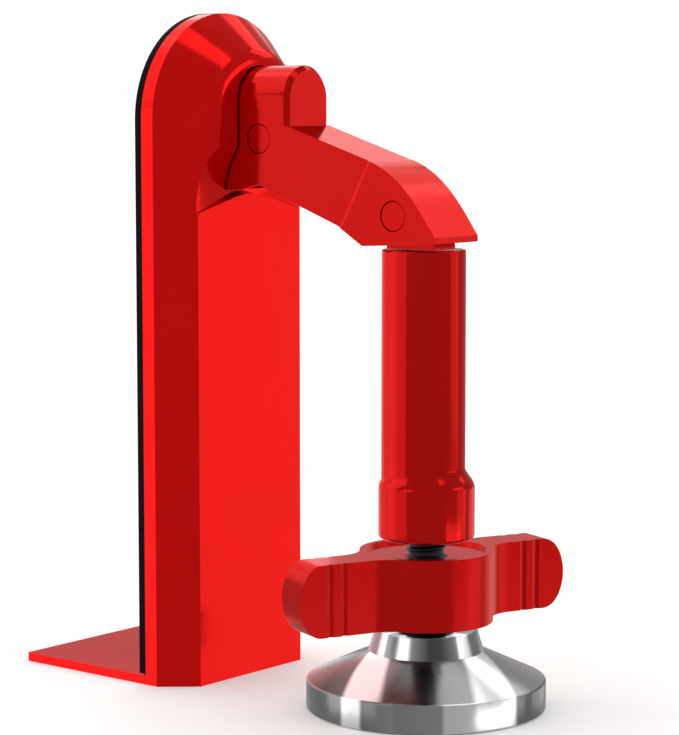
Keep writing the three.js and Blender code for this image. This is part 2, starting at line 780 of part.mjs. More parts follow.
function addScrew(group) {
  const hubFoot = hubBottomHeight - ballHeight;
  const knobTurn = new THREE.Group();
  knobTurn.position.set(0, 0, hubFoot);
  knobTurn.rotation.z = wingTurn;
  group.add(knobTurn);
  knobTurn.add(namedMesh('wing_knob', asGeometry(wingKnob()), red));
  const crossPin = crossPinRod(crossPinRadius, crossPinFarReach, hubRadius - pinRecess);
  knobTurn.add(namedMesh('knob_cross_pin', asGeometry(crossPin), steel));

  const pinHole = rod(crossPinRadius + fitGap, -hubRadius, hubRadius, smallSteps);
  pinHole.rotateX(quarterTurn);
  pinHole.rotateZ(wingTurn);
  pinHole.translate(0, 0, hubFoot + hubHeight / 2);
  const spindle = asSolid(spindleGeometry()).subtract(asSolid(pinHole));
  group.add(namedMesh('spindle', asGeometry(spindle), darkSteel));
  const ringFoot = stopRingBottom + fitGap - ballHeight;
  const ring = tube(stopRingRadius, journalRadius + fitGap, ringFoot, ringFoot + stopRingThickness);
  group.add(namedMesh('travel_stop_ring', ring, steel));
}

function addThrustWasher(group) {
  const top = hubBottomHeight - fitGap - ballHeight;
  const washer = tube(thrustWasherRadius, spindleRadius + fitGap, top - thrustWasherThickness, top);
  group.add(namedMesh('thrust_washer', washer, rubber));
}

// Split ring that wraps the ball inside the foot
function addBallSeat(group) {
  const inner = ballRadius + fitGap;
  const outer = inner + seatWall;
  const arc = (radius, side) => {
    const low = -Math.asin(seatBelow / radius);
    const high = Math.asin(seatAbove / radius);
    const [from, to] = side > 0 ? [low, high] : [high, low];
    return ballArc(radius, from, to, smallSteps / 2);
  };
  const profile = [...arc(outer, 1), ...arc(inner, -1)];
  profile.push(profile[0]);
  group.add(namedMesh('ball_seat', turned(profile), nylon));
}

// Turned foot: round neck, shallow cone and a rolled rim, bored for the ball from below
function footBody() {
  const up = (height) => height - ballHeight;
  const base = up(soleThickness);
  const rimTop = base + rimHeight;
  const coneTop = rimTop + coneHeight;
  const top = coneTop + footNeckHeight;
  const outside = turned([
    [0, base],
    [rimRadius - rimEdge, base],
    [rimRadius, base + rimEdge],
    [rimRadius, rimTop - rimEdge],
    [rimRadius - rimEdge, rimTop],
    [coneTopRadius, coneTop],
    [footNeckRadius, top],
    [0, top],
  ], fineSteps);
  const socket = ballRadius + seatWall + 2 * fitGap;
  const hole = spindleRadius + footHoleSpare;
  const socketCut = turned([
    [0, base],
    [socket, base],
    ...ballArc(socket, 0, Math.acos(hole / socket), smallSteps / 2),
    [hole, top + cutOverrun],
    [0, top + cutOverrun],
  ]);
  const plateCut = rod(plateRadius + fitGap, base - cutOverrun, base + plateThickness, fineSteps);
  let foot = asSolid(outside).subtract(asSolid(socketCut)).subtract(asSolid(plateCut));
  for (const [x, y] of plateScrewPlaces()) foot = foot.subtract(plateScrewHole(x, y));
  return foot;
}

function plateScrewPlaces() {
  const places = [];
  for (let i = 0; i < plateScrewCount; i += 1) {
    const angle = (2 * Math.PI * i) / plateScrewCount;
    places.push([plateScrewCircle * Math.cos(angle), plateScrewCircle * Math.sin(angle)]);
  }
  return places;
}

function plateScrewHole(x, y) {
  const geometry = screwGeometry(plateScrew, fitGap);
  geometry.translate(x, y, soleThickness + fitGap - ballHeight);
  return asSolid(geometry);
}

function addFoot(group) {
  const base = soleThickness - ballHeight;
  group.add(namedMesh('foot', asGeometry(footBody()), chrome));
  let plate = asSolid(rod(plateRadius, base, base + plateThickness, fineSteps));
  plateScrewPlaces().forEach(([x, y], i) => {
    plate = plate.subtract(plateScrewHole(x, y));
    group.add(namedMesh(`plate_screw_${i + 1}`, socketScrew(plateScrew), steel, x, y, base + fitGap));
  });
  group.add(namedMesh('foot_retaining_plate', asGeometry(plate), steel));
  group.add(namedMesh('foot_sole', rod(soleRadius, -ballHeight, base, fineSteps), rubber));
}

// Assembly: each group stands at its own joint, one inside another
const brace = new THREE.Group();
const armGroup = groupAt(armPinY, armPinZ);
const legGroup = groupAt(-elbowReach, -elbowDrop);
const ballGroup = groupAt(legAxisY - elbowY, ballHeight - elbowZ);

addBody(brace);
brace.add(armGroup);
addArm(armGroup);
armGroup.add(legGroup);
addLeg(legGroup);
legGroup.add(ballGroup);
addScrew(ballGroup);
addThrustWasher(ballGroup);
addBallSeat(ballGroup);
addFoot(ballGroup);

export default brace;
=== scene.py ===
import math

import bmesh
import bpy
from mathutils import Matrix, Vector
from mathutils.geometry import interpolate_bezier


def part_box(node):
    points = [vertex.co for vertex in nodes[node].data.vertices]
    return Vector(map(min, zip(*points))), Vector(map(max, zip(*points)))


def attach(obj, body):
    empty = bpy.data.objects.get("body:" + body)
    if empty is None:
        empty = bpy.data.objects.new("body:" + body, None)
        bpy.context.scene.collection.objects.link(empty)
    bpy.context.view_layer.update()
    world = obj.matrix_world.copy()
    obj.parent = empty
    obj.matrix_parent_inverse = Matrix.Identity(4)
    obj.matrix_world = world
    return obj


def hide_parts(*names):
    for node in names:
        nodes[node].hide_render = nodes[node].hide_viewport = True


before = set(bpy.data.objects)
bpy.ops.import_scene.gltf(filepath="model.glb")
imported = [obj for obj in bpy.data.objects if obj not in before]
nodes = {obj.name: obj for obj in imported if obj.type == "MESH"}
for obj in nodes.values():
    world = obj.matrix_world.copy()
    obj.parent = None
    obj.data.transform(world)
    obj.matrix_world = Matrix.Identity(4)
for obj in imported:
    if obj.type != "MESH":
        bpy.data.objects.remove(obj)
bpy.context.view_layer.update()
mm = 0.001

# Camera
# It stands in front and to the left of the body, a little above its middle, with a long lens.
photo_height_px = 735
focal_length_px = 2513.5
sensor_width_mm = 36
camera_place = Vector((-451.37, -409.45, 140.80)) * mm
camera_aim = Vector((13.72, -30.0, 74.74)) * mm
near_clip = 10 * mm

camera_data = bpy.data.cameras.new("camera")
camera_data.sensor_width = sensor_width_mm
camera_data.lens = focal_length_px / photo_height_px * sensor_width_mm
camera_data.clip_start = near_clip
camera = bpy.data.objects.new("camera", camera_data)
camera.location = camera_place
camera.rotation_euler = (camera_aim - camera_place).to_track_quat("-Z", "Y").to_euler()
bpy.context.scene.collection.objects.link(camera)
bpy.context.scene.camera = camera
bpy.context.scene.view_settings.view_transform = "Standard"


# Body casting
# One metal casting with a bevelled arched front, a raised head round the slot, and the hooked lip.
# Its back is hollow, and it is sprayed and baked with the glossy red coat that the arm, the leg
# and the knob have too.
strip_depth = 3.65
bevel_width = 6.8
bevel_depth = 7.9
head_edge_round = 2.6
dish_depth = 1.4
lip_thickness = 2.2
gable_foot_below = 22.4
gable_peak_below = 17.4
hollow_end_below = 6.0
gable_peak_round = 3.0
hollow_step = 0.2
hollow_rise_share = 0.45
hollow_lead_shares = (0.25, 0.66)
hollow_points = 16
valley_depth = 1.9
gable_steps = (2.0, 3.0, 4.0, 8.0, 10.2)
pocket_side_wall = 8.0
pocket_floor_wall = 9.0
front_wall = 2.65
cover_ledge = 3.0
cover_gap = 0.3
slot_foot_height = 117.6
slot_top_height = 146.9
slot_centre_above = 4.7
boss_radius = 3.6
boss_root = 1.0
screw_hole_radius = 1.9
screw_hole_past = 0.5
coat_peel = 0.0004 * mm
arch_steps = 120
overrun = 2.0
seam_gap = 0.002
plane_gap = 1e-4
edge_round = 0.3
ease_angle = math.radians(32)


class Wire:
    """A shader socket that takes part in sums and products, which become Math nodes."""

    def __init__(self, tree, socket):
        self.tree = tree
        self.socket = socket

    def _maths(self, operation, first, second=None):
        inputs = [first] if second is None else [first, second]
        return self.tree.node("ShaderNodeMath", {"operation": operation}, inputs)

    def __add__(self, other):
        return self._maths("ADD", self, other)

    def __radd__(self, other):
        return self._maths("ADD", other, self)

    def __sub__(self, other):
        return self._maths("SUBTRACT", self, other)

    def __rsub__(self, other):
        return self._maths("SUBTRACT", other, self)

    def __mul__(self, other):
        return self._maths("MULTIPLY", self, other)

    def __rmul__(self, other):
        return self._maths("MULTIPLY", other, self)


class Tree:
    """The node tree of a material or a world. One method adds a node, sets it and links it."""

    def __init__(self, owner):
        owner.use_nodes = True
        self.nodes = owner.node_tree.nodes
        self.links = owner.node_tree.links
        self.nodes.clear()

    def node(self, kind, settings=None, inputs=None, output=0):
        made = self.nodes.new(kind)
        for name, value in (settings or {}).items():
            if name == "stops":
                self._stops(made.color_ramp.elements, value)
            else:
                setattr(made, name, value)
        pairs = inputs.items() if isinstance(inputs, dict) else enumerate(inputs or [])
        for key, value in pairs:
            if isinstance(value, Wire):
                self.links.new(value.socket, made.inputs[key])
            else:
                made.inputs[key].default_value = value
        return Wire(self, made.outputs[output]) if made.outputs else made

    def _stops(self, elements, stops):
        while len(elements) < len(stops):
            elements.new(1)
        for element, (place, level) in zip(elements, stops):
            element.position = place
            element.color = (level, level, level, 1)

    def place(self):
        return self.node("ShaderNodeTexCoord", output="Object")

    def noise(self, scale, detail=2.0):
        inputs = {"Vector": self.place(), "Scale": scale, "Detail": detail}
        return self.node("ShaderNodeTexNoise", inputs=inputs)

    def clamp(self, value):
        return self.node("ShaderNodeClamp", inputs=[value])

    def ramp(self, value, stops):
        return self.node("ShaderNodeValToRGB", {"stops": stops}, [value])

    def mix(self, share, first, second):
        settings = {"data_type": "RGBA", "clamp_factor": True}
        return self.node("ShaderNodeMix", settings, {0: share, 6: first, 7: second}, output=2)

    def bump(self, height, distance):
        return self.node("ShaderNodeBump", inputs={"Height": height, "Distance": distance, "Strength": 1.0})

    def surface(self, **sockets):
        named = {name.replace("_", " "): value for name, value in sockets.items()}
        shader = self.node("ShaderNodeBsdfPrincipled", inputs=named)
        self.node("ShaderNodeOutputMaterial", inputs={"Surface": shader})


def red_coat_material(name, red, roughness=0.10):
    """Baked red coat: deep red over metal flake, with a faint orange peel and a clear gloss."""
    material = bpy.data.materials.new(name)
    tree = Tree(material)
    cloud = tree.noise(35.0)
    peel = tree.noise(700.0, detail=1.0)
    tree.surface(
        Base_Color=tree.mix(cloud, (red * 0.96, 0.004, 0.003, 1), (red * 1.04, 0.006, 0.005, 1)),
        Metallic=0.75,
        Roughness=roughness + 0.06 * tree.noise(90.0),
        Specular_IOR_Level=0.25,
        Specular_Tint=(1.0, 0.55, 0.53, 1),
        Coat_Weight=0.04,
        Coat_Roughness=0.05,
        Normal=tree.bump(peel, coat_peel / roughness),
    )
    return material


def of_kind(geom, kind):
    return [item for item in geom if isinstance(item, kind)]


def extrude_faces(bm, faces, vector):
    made = bmesh.ops.extrude_face_region(bm, geom=faces)["geom"]
    bmesh.ops.translate(bm, verts=of_kind(made, bmesh.types.BMVert), vec=vector)
    return made


def arch_block(half, centre, foot, rear, front):
    """A block with the outline of a round-topped arch, from one Y to another, in millimetres."""
    bm = bmesh.new()
    stood_up = Matrix.Translation((0, rear, centre)) @ Matrix.Rotation(math.pi / 2, 4, "X")
    bmesh.ops.create_circle(bm, cap_ends=True, segments=arch_steps, radius=half, matrix=stood_up)
    everything = [*bm.verts, *bm.edges, *bm.faces]
    bmesh.ops.bisect_plane(
        bm, geom=everything, dist=plane_gap, plane_co=(0, 0, centre), plane_no=(0, 0, 1), clear_inner=True)
    low_edge = min(bm.edges, key=lambda edge: sum(vert.co.z for vert in edge.verts))
    made = bmesh.ops.extrude_edge_only(bm, edges=[low_edge])["geom"]
    bmesh.ops.translate(bm, verts=of_kind(made, bmesh.types.BMVert), vec=(0, 0, foot - centre))
    bmesh.ops.dissolve_edges(bm, edges=[low_edge])
    extrude_faces(bm, bm.faces[:], (0, front - rear, 0))
    bmesh.ops.recalc_face_normals(bm, faces=bm.faces)
    return bm


def object_from(name, bm):
    """An object in millimetres that holds this mesh, for a cut or for finishing."""
    bmesh.ops.recalc_face_normals(bm, faces=bm.faces)
    mesh = bpy.data.meshes.new(name)
    bm.to_mesh(mesh)
    bm.free()
    made = bpy.data.objects.new(name, mesh)
    bpy.context.scene.collection.objects.link(made)
    return made


def combine(piece, bm, operation):
    """Cuts the mesh in bm out of the piece, or joins it on, and uses it up."""
    tool = object_from("tool", bm)
    modifier = piece.modifiers.new("combine", "BOOLEAN")
    modifier.object = tool
    modifier.operation = operation
    modifier.solver = "EXACT"
    result = bpy.data.meshes.new_from_object(piece.evaluated_get(bpy.context.evaluated_depsgraph_get()))
    piece.modifiers.clear()
    piece.data = result
    bpy.data.objects.remove(tool)


def round_edges(piece, width):
    """Eases every sharp edge, as the coat or the tumbling does."""
    bevel = piece.modifiers.new("eased_edges", "BEVEL")
    bevel.width = width * mm
    bevel.segments = 2
    bevel.limit_method = "ANGLE"
    bevel.angle_limit = ease_angle
    bevel.harden_normals = True
    bevel.use_clamp_overlap = True


def finish_piece(piece, name, material, body, stands_for, edge=edge_round, crease=28):
    """Brings a piece from millimetres to its size, gives it its finish and its body, and hides its nodes."""
    piece.name = name
    bm = bmesh.new()
    bm.from_mesh(piece.data)
    bmesh.ops.remove_doubles(bm, verts=bm.verts, dist=seam_gap)
    bmesh.ops.dissolve_degenerate(bm, edges=bm.edges, dist=seam_gap)
    bmesh.ops.scale(bm, verts=bm.verts, vec=(mm, mm, mm))
    for face in bm.faces:
        face.smooth = True
    bm.to_mesh(piece.data)
    bm.free()
    piece.data.name = name
    piece.data.materials.clear()
    piece.data.materials.append(material)
    piece.data.set_sharp_from_angle(angle=math.radians(crease))
    if edge:
        round_edges(piece, edge)
    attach(piece, body)
    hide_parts(*stands_for)
    return piece


casting_low, casting_high = (Vector(corner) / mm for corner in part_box("body_casting"))
cover_low = Vector(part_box("back_cover")[0]) / mm
pad_low, pad_high = (Vector(corner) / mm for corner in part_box("back_pad"))
body_half = casting_high.x
flat_half = body_half - bevel_width
arch_centre = casting_high.z - body_half
casting_back = pad_low.y
strip_front = casting_back - strip_depth
flat_front = strip_front - bevel_depth
head_front = casting_low.y
head_stand_out = flat_front - head_front
head_inset = bevel_width * (1 + head_stand_out / bevel_depth)
head_half = body_half - head_inset
slot_centre = arch_centre + slot_centre_above
slot_half = slot_top_height - slot_centre
pocket_half = body_half - pocket_side_wall


def casting_shell():
    """The outside of the casting: strip, bevel, rounded head edge and dished head face."""
    below = -2 * head_inset
    bm = arch_block(body_half, arch_centre, below, casting_back, strip_front)
    front = min(bm.faces, key=lambda face: face.calc_center_median().y)
    bmesh.ops.inset_region(
        bm, faces=[front], thickness=head_inset, depth=bevel_depth + head_stand_out, use_even_offset=True)
    bmesh.ops.bevel(
        bm, geom=front.edges[:], offset=head_edge_round, segments=8, profile=0.5, affect="EDGES",
        material=-1)
    face = min(bm.faces, key=lambda face: face.calc_center_median().y - face.calc_area())
    dish_width = head_half - head_edge_round - slot_half
    bmesh.ops.inset_region(bm, faces=[face], thickness=dish_width, depth=-dish_depth, use_even_offset=True)
    everything = [*bm.verts, *bm.edges, *bm.faces]
    cut = bmesh.ops.bisect_plane(
        bm, geom=everything, dist=plane_gap, plane_co=(0, 0, 0), plane_no=(0, 0, 1), clear_inner=True)
    bmesh.ops.holes_fill(bm, edges=of_kind(cut["geom_cut"], bmesh.types.BMEdge))
    return bm


def hollow_cut():
    """What is taken off the front: the flat, and the shallow valley from its gabled edge to the head."""
    end = arch_centre - hollow_end_below
    foot = arch_centre - gable_peak_below
    rise = end - foot
    slope = (gable_foot_below - gable_peak_below) / flat_half
    lead_out, lead_up = hollow_lead_shares
    valley = interpolate_bezier(
        Vector((0, flat_front + hollow_step, foot + hollow_step)),
        Vector((0, flat_front + hollow_step, foot + hollow_rise_share * rise)),
        Vector((0, flat_front - lead_out * head_stand_out, foot + lead_up * rise)),
        Vector((0, head_front, end)),
        hollow_points,
    )
    out = head_front - overrun
    outline = [(0, flat_front, -overrun), (0, flat_front, foot), *valley, (0, out, end), (0, out, -overrun)]
    bm = bmesh.new()
    middle = bm.faces.new([bm.verts.new(point) for point in outline])
    for step in gable_steps:
        passed = middle
        made = extrude_faces(bm, [middle], (step, 0, 0))
        middle = of_kind(made, bmesh.types.BMFace)[0]
        bmesh.ops.delete(bm, geom=[passed], context="FACES_ONLY")
    for vert in bm.verts:
        if vert.co.z > foot + hollow_step / 2 and vert.co.y > head_front - overrun / 2:
            inward = 1 - vert.co.x / flat_half
            vert.co.y += valley_depth * max(0, inward) * (end - vert.co.z) / rise
        if vert.co.z > foot - hollow_step / 2:
            share = 1 - (vert.co.z - foot) / rise
            vert.co.z -= share * slope * (math.hypot(vert.co.x, gable_peak_round) - gable_peak_round)
    bmesh.ops.mirror(bm, geom=[*bm.verts, *bm.edges, *bm.faces], axis="X", merge_dist=plane_gap)
    return bm


def screw_cylinders(radius, rear, front):
    """A cylinder along Y at each cover screw."""
    bm = bmesh.new()
    for number in range(1, 5):
        low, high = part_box(f"cover_screw_{number}")
        centre = (Vector(low) + Vector(high)) / 2 / mm
        centre.y = (rear + front) / 2
        stood = Matrix.Translation(centre) @ Matrix.Rotation(math.pi / 2, 4, "X")
        bmesh.ops.create_cone(
            bm, cap_ends=True, segments=32, radius1=radius, radius2=radius, depth=rear - front,
            matrix=stood)
    return bm


# One coat in two shades: the body's copy is painted lighter and the solid parts' copies darker, as painted
# light and shade.
red_coat = red_coat_material("red_coat", 0.84)
casting = object_from("body_casting_shell", casting_shell())
combine(casting, hollow_cut(), "DIFFERENCE")
lip = bmesh.new()
lip_size = Vector((2 * body_half, casting_high.y - strip_front, lip_thickness))
lip_centre = Vector((0, (casting_high.y + strip_front) / 2, lip_thickness / 2))
bmesh.ops.create_cube(lip, size=1, matrix=Matrix.Translation(lip_centre) @ Matrix.Diagonal((*lip_size, 1)))
combine(casting, lip, "UNION")
recess_grow = cover_ledge + cover_gap
recess = arch_block(pocket_half + recess_grow, arch_centre, pocket_floor_wall - recess_grow,
                    casting_back + overrun, cover_low.y)
combine(casting, recess, "DIFFERENCE")
pocket_front = flat_front + front_wall
pocket = arch_block(pocket_half, arch_centre, pocket_floor_wall, cover_low.y + overrun, pocket_front)
combine(casting, pocket, "DIFFERENCE")
bosses = screw_cylinders(boss_radius, cover_low.y, pocket_front - boss_root)
combine(casting, bosses, "UNION")
screw_holes = screw_cylinders(screw_hole_radius, cover_low.y + overrun, pocket_front + screw_hole_past)
combine(casting, screw_holes, "DIFFERENCE")
slot = arch_block(slot_half, slot_centre, slot_foot_height, pocket_front + overrun, head_front - overrun)
combine(casting, slot, "DIFFERENCE")
finish_piece(casting, "red_body_casting", red_coat, "body", ["body_casting"], crease=8)


# Back cover and its screws
# A steel plate closes the hollow of the casting and carries the hinge bracket. Four countersunk
# socket screws hold it to bosses in the casting, and two hold the bracket. The cover and the screws
# are zinc plated, and the bracket is blackened.
drawing_mark_depth = 0.006 * mm
facet_gap = 0.001 * mm
facet_angle = math.radians(1)


def zinc_steel_material(name, level, roughness):
    """Plated steel with the cloudy bloom of zinc and fine drawing marks."""
    material = bpy.data.materials.new(name)
    tree = Tree(material)
    bloom = tree.noise(120.0, detail=3.0)
    tint = tree.mix(bloom, (level * 0.85, level * 0.86, level * 0.9, 1), (level, level, level, 1))
    tree.surface(
        Base_Color=tint,
        Metallic=1.0,
        Roughness=roughness + 0.15 * tree.noise(420.0),
        Normal=tree.bump(tree.noise(1500.0), drawing_mark_depth),
    )
    return material


def dress_node(name, material, edge=edge_round / 2):
    """Gives a CAD node its finish, and eases its edges where it has room."""
    node = nodes[name]
    node.data.materials.clear()
    node.data.materials.append(material)
    weld = node.modifiers.new("weld", "WELD")
    weld.merge_threshold = facet_gap
    flatten = node.modifiers.new("flat_faces", "DECIMATE")
    flatten.decimate_type = "DISSOLVE"
    flatten.angle_limit = facet_angle
    if edge:
        round_edges(node, edge)


plain_steel = zinc_steel_material("plain_steel", 0.55, 0.25)
for name in ("back_cover", "bracket_screw_1", "bracket_screw_2"):
    dress_node(name, plain_steel)
black_steel = zinc_steel_material("black_steel", 0.03, 0.35)
dress_node("hinge_bracket", black_steel)
for number in range(1, 5):
    dress_node(f"cover_screw_{number}", plain_steel)


# Back pad
# A sheet of black rubber glued to the cover keeps the metal off whatever the brace hooks on to.
# It is die cut, with a matt skin and a little dust on it.
pad_edge_round = 0.25
rubber_grain_depth = 0.03 * mm


def rubber_material():
    material = bpy.data.materials.new("black_rubber")
    tree = Tree(material)
    dust = tree.ramp(tree.noise(60.0, detail=4.0), [(0.45, 0.0), (0.75, 1.0)])
    tree.surface(
        Base_Color=tree.mix(dust, (0.002, 0.002, 0.002, 1), (0.005, 0.005, 0.005, 1)),
        Roughness=0.7 + 0.2 * tree.noise(900.0),
        Specular_IOR_Level=0.12,
        Normal=tree.bump(tree.noise(1800.0, detail=1.0), rubber_grain_depth),
    )
    return material


black_rubber = rubber_material()
pad_centre = pad_high.z - pad_high.x
pad = object_from("pad", arch_block(pad_high.x, pad_centre, pad_low.z, pad_high.y, pad_low.y))
finish_piece(pad, "rubber_back_pad", black_rubber, "body", ["back_pad"], pad_edge_round)


# Arm
# A solid red bar that hinges on the bracket's tongue. Its round-topped tab stops the swing, and
# its flared elbow wraps the top of the leg. It is cast, forked at both ends, and coated.
arm_width = 15.4
tab_front_ahead = 8.85
tab_top_above = 17.0
tab_chamfer = 1.1
tab_sink = 1.5
tab_ease_start = 5.0
tab_ease = ((3.2, 1.03), (6.5, 0.87))
shelf_above = 3.0
root_below = 11.8
root_ahead = 6.0
root_relief = 1.76
notch_ahead = 0.4
notch_below = 10.5
notch_run = 0.6
elbow_width = 16.2
nose_ahead = 11.8
nose_below = 4.5
nose_lip = 1.4
elbow_floor_below = 7.0
crease_run = 0.9
crease_ease = 0.16
elbow_back_behind = 8.8
crease_foot_behind = 15.6
crease_foot_below = 2.9
bend_shares = ((0.559, 0.309), (0.79, 0.43), (0.903, 0.77))
bend_steps = 28
arm_fork_width = 8.6
arm_fork_radius = 6.5
elbow_fork_width = 10.2
pin_hole_grow = 0.30


def centre_of(node):
    low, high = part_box(node)
    return (Vector(low) + Vector(high)) / 2 / mm


def rod_radius(node):
    """The radius of a rod that lies along X."""
    low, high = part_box(node)
    return (high[2] - low[2]) / mm / 2


def side_block(outline, half):
    """The outline in Y and Z, run across X to both sides of the middle."""
    bm = bmesh.new()
    side = bm.faces.new([bm.verts.new((-half, point.y, point.z)) for point in outline])
    extrude_faces(bm, [side], (2 * half, 0, 0))
    bmesh.ops.recalc_face_normals(bm, faces=bm.faces)
    return bm


def hull_of(bm):
    """Wraps the points of the mesh in their hull, and drops what lies inside."""
    hull = bmesh.ops.convex_hull(bm, input=bm.verts[:])
    inside = set(of_kind(hull["geom_interior"] + hull["geom_unused"], bmesh.types.BMVert))
    bmesh.ops.delete(bm, geom=list(inside), context="VERTS")
    bmesh.ops.dissolve_limit(bm, angle_limit=math.radians(0.5), verts=bm.verts[:], edges=bm.edges[:])
    bmesh.ops.recalc_face_normals(bm, faces=bm.faces)
    return bm


def hull_block(radius, centre, corners, half):
    """The hull of a rod along X and of the corners in Y and Z about its centre."""
    bm = bmesh.new()
    for side in (-half, half):
        place = Matrix.Translation((side, centre.y, centre.z)) @ Matrix.Rotation(math.pi / 2, 4, "Y")
        bmesh.ops.create_circle(bm, segments=64, radius=radius, matrix=place)
        for along, up in corners:
            bm.verts.new((side, centre.y + along, centre.z + up))
    return hull_of(bm)


arm_high = Vector(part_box("arm")[1]) / mm
arm_pin = centre_of("arm_pin")
elbow_pin = centre_of("elbow_pin")
arm_half = arm_width / 2
arm_rear = arm_high.y - arm_pin.y


def about_arm_pin(along, up):
    return arm_pin + Vector((0, along, up))


def elbow_front():
    """From the start of the bend over the elbow to its nose, and back along its foot."""
    shelf = about_arm_pin(-tab_front_ahead, shelf_above)
    nose = elbow_pin + Vector((0, -nose_ahead, -nose_below))
    knots = [shelf + Vector((0, along * (nose.y - shelf.y), down * (nose.z - shelf.z)))
             for along, down in bend_shares]
    return [
        *interpolate_bezier(*knots, nose, bend_steps),
        nose - Vector((0, 0, nose_lip)),
        elbow_pin + Vector((0, elbow_back_behind, -elbow_floor_below)),
        elbow_pin + Vector((0, crease_foot_behind, -crease_foot_below)),
    ]


def elbow_block():
    """The elbow, a little wider than the bar, with its rear side edges eased over a short run."""
    outline = elbow_front()
    bm = side_block(outline, elbow_width / 2)
    crease = outline[0] - outline[-1]
    ahead = Vector((0, -crease.z, crease.y)).normalized()
    bmesh.ops.bisect_plane(
        bm, geom=[*bm.verts, *bm.edges, *bm.faces], dist=plane_gap,
        plane_co=outline[-1] + ahead * crease_run, plane_no=ahead)
    for vert in bm.verts:
        if (vert.co - outline[-1]).dot(ahead) < crease_run / 2:
            vert.co.x -= math.copysign(crease_ease, vert.co.x)
    return bm


def stop_tab():
    """The round-topped tab with its chamfered front, eased down where it swings in the slot."""
    top_centre = arm_pin.z + tab_top_above - arm_half
    bm = arch_block(arm_half, top_centre, arm_pin.z + tab_sink, arm_pin.y + tab_ease_start,
                    arm_pin.y - tab_front_ahead)
    front = min(bm.faces, key=lambda face: face.calc_center_median().y)
    foot = min(front.edges, key=lambda edge: sum(vert.co.z for vert in edge.verts))
    rim = [edge for edge in front.edges if edge is not foot]
    bmesh.ops.bevel(bm, geom=rim, offset=tab_chamfer, segments=1, profile=0.5, affect="EDGES", material=-1)
    rear = max(bm.faces, key=lambda face: face.calc_center_median().y)
    for run, drop in tab_ease:
        passed = rear
        rear = of_kind(extrude_faces(bm, [passed], (0, run, -drop)), bmesh.types.BMFace)[0]
        bmesh.ops.delete(bm, geom=[passed], context="FACES_ONLY")
    return bm


bar_outline = [
    about_arm_pin(-tab_front_ahead, shelf_above),
    *elbow_front()[:2],
    elbow_pin,
    elbow_front()[-1],
    about_arm_pin(-notch_ahead - notch_run, -notch_below - notch_run),
    about_arm_pin(-notch_ahead, -notch_below),
    about_arm_pin(root_ahead, -root_below),
    about_arm_pin(arm_rear - root_relief, -root_below),
    about_arm_pin(arm_rear, 0),
    about_arm_pin(arm_rear, shelf_above),
]
# The same coat with a darker base colour, which is painted shade, for the arm, the leg and the pins.
shaded_red_coat = red_coat_material("shaded_red_coat", 0.60)
arm = object_from("arm_bar", side_block(bar_outline, arm_half))
combine(arm, elbow_block(), "UNION")
combine(arm, stop_tab(), "UNION")
fork_far = arm_rear + overrun
fork_corners = [(0, -root_below - overrun), (fork_far, -root_below - overrun),
                (fork_far, arm_fork_radius), (0, arm_fork_radius)]
fork_outline = [about_arm_pin(*corner) for corner in fork_corners]
combine(arm, side_block(fork_outline, arm_fork_width / 2), "DIFFERENCE")
combine(arm, hull_block(arm_fork_radius, arm_pin, [], arm_fork_width / 2), "DIFFERENCE")

tongue_radius = 4.9
tongue_ahead = 8.6
tongue_foot_below = 6.6
tongue_play = 0.3
rock_room = 0.9
channel_foot = -elbow_floor_below - overrun
channel_corners = [(tongue_radius + rock_room, channel_foot), (-tongue_ahead - rock_room, channel_foot),
                   (-tongue_ahead - rock_room, rock_room - tongue_foot_below)]
channel = hull_block(tongue_radius + tongue_play, elbow_pin, channel_corners, elbow_fork_width / 2)
combine(arm, channel, "DIFFERENCE")
arm_pin_radius = rod_radius("arm_pin")
elbow_pin_radius = rod_radius("elbow_pin")
for centre, radius in ((arm_pin, arm_pin_radius), (elbow_pin, elbow_pin_radius)):
    combine(arm, hull_block(radius + pin_hole_grow, centre, [], arm_width), "DIFFERENCE")
finish_piece(arm, "red_arm", shaded_red_coat, "arm", ["arm"], crease=8)


# Thin washers
# White nylon rings on both pins, two to a joint, keep the forks off the tongues. They are punched
# from sheet.
washer_edge_round = 0.05
nylon_grain_depth = 0.01 * mm

nylon = bpy.data.materials.new("nylon")
nylon_tree = Tree(nylon)
nylon_tree.surface(
    Base_Color=nylon_tree.mix(nylon_tree.noise(80.0), (0.70, 0.68, 0.62, 1), (0.76, 0.75, 0.70, 1)),
    Roughness=0.45 + 0.15 * nylon_tree.noise(500.0),
    Normal=nylon_tree.bump(nylon_tree.noise(1200.0), nylon_grain_depth),
)
for side in ("left", "right"):
    dress_node(f"arm_washer_{side}", nylon, washer_edge_round)
    dress_node(f"elbow_washer_{side}", nylon, washer_edge_round)


# Hinge pins
# Two steel pins, one through the root of the arm and one through its elbow. They are ground nearly
# flush, and their ends are coated with the arm.
pin_recess = 0.12
pin_edge = 0.2
pin_seat_gap = 0.1


def turned(profile, steps=128):
    """A profile of radius and height turned about Z. It ends on the axis, or closes on itself."""
    bm = bmesh.new()
    points = [bm.verts.new((radius, 0, height)) for radius, height in profile]
    pairs = list(zip(points, points[1:]))
    if profile[0][0] > 0:
        pairs.append((points[-1], points[0]))
    edges = [bm.edges.new(pair) for pair in pairs]
    bmesh.ops.spin(
        bm, geom=[*points, *edges], cent=(0, 0, 0), axis=(0, 0, 1), angle=2 * math.pi, steps=steps,
        use_merge=True)
    bmesh.ops.remove_doubles(bm, verts=bm.verts, dist=plane_gap)
    bmesh.ops.recalc_face_normals(bm, faces=bm.faces)
    return bm


def moved(bm, vector):
    bmesh.ops.translate(bm, verts=bm.verts, vec=vector)
    return bm


